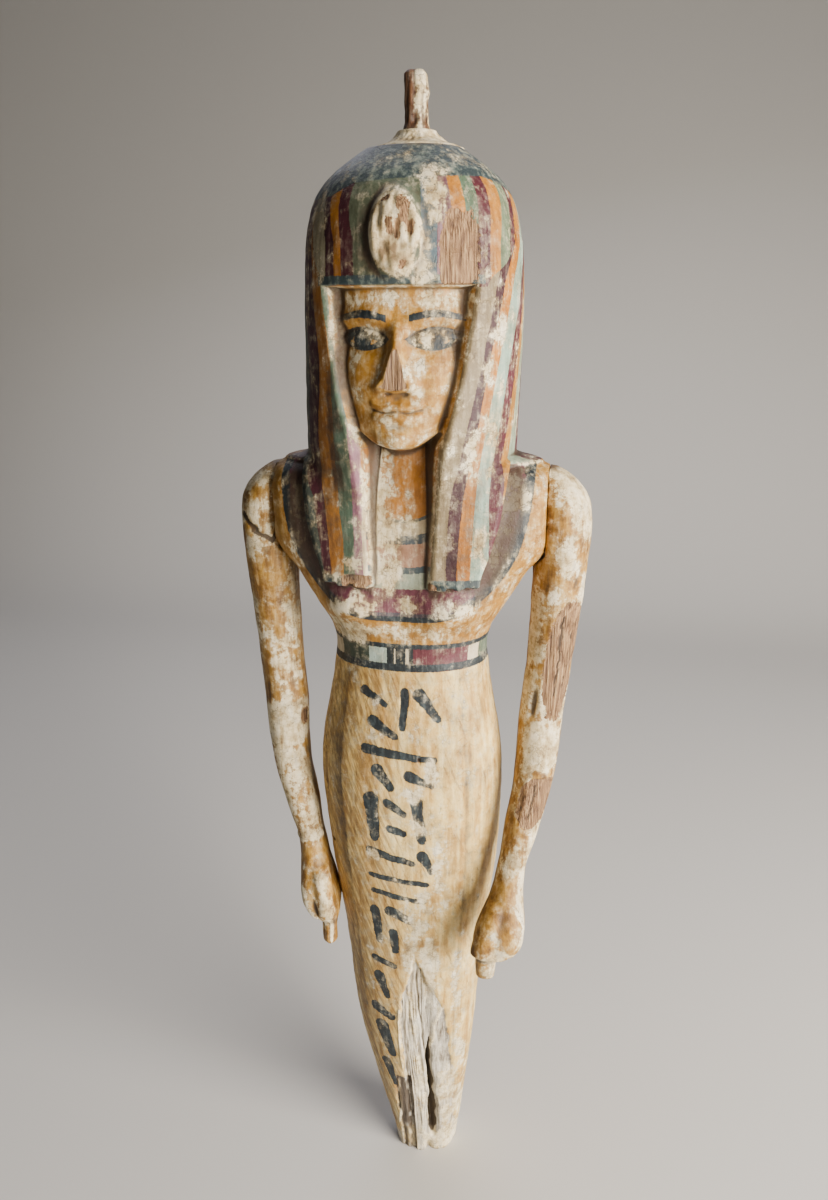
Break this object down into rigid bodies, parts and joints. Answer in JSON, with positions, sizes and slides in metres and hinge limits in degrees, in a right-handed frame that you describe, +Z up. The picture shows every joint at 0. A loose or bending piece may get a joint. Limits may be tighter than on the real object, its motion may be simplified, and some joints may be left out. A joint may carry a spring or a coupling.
{
  "type": "painted wooden statuette",
  "caption": "Standing figure of a woman in a tight dress and long striped wig, carved in wood and painted over gesso, broken off above the feet.",
  "frame": {"origin": "middle of the flat underside of the broken lower legs", "axes": "+Z up along the figure, the face looks along -Y, +X is the figure's own left"},
  "size_m": [0.1739, 0.0991, 0.5808],
  "materials": {
    "figure": "wood under cracked gesso and matt paint, with bare and rotten patches",
    "right_arm": "wood under worn gesso and ochre paint",
    "left_arm": "wood under worn gesso and ochre paint, bare along the outside",
    "crown_peg": "bare weathered dark wood"
  },
  "bodies": {
    "root": {"figure": "figure", "right_arm": "right_arm", "left_arm": "left_arm", "crown_peg": "crown_peg"}
  },
  "joints": []
}
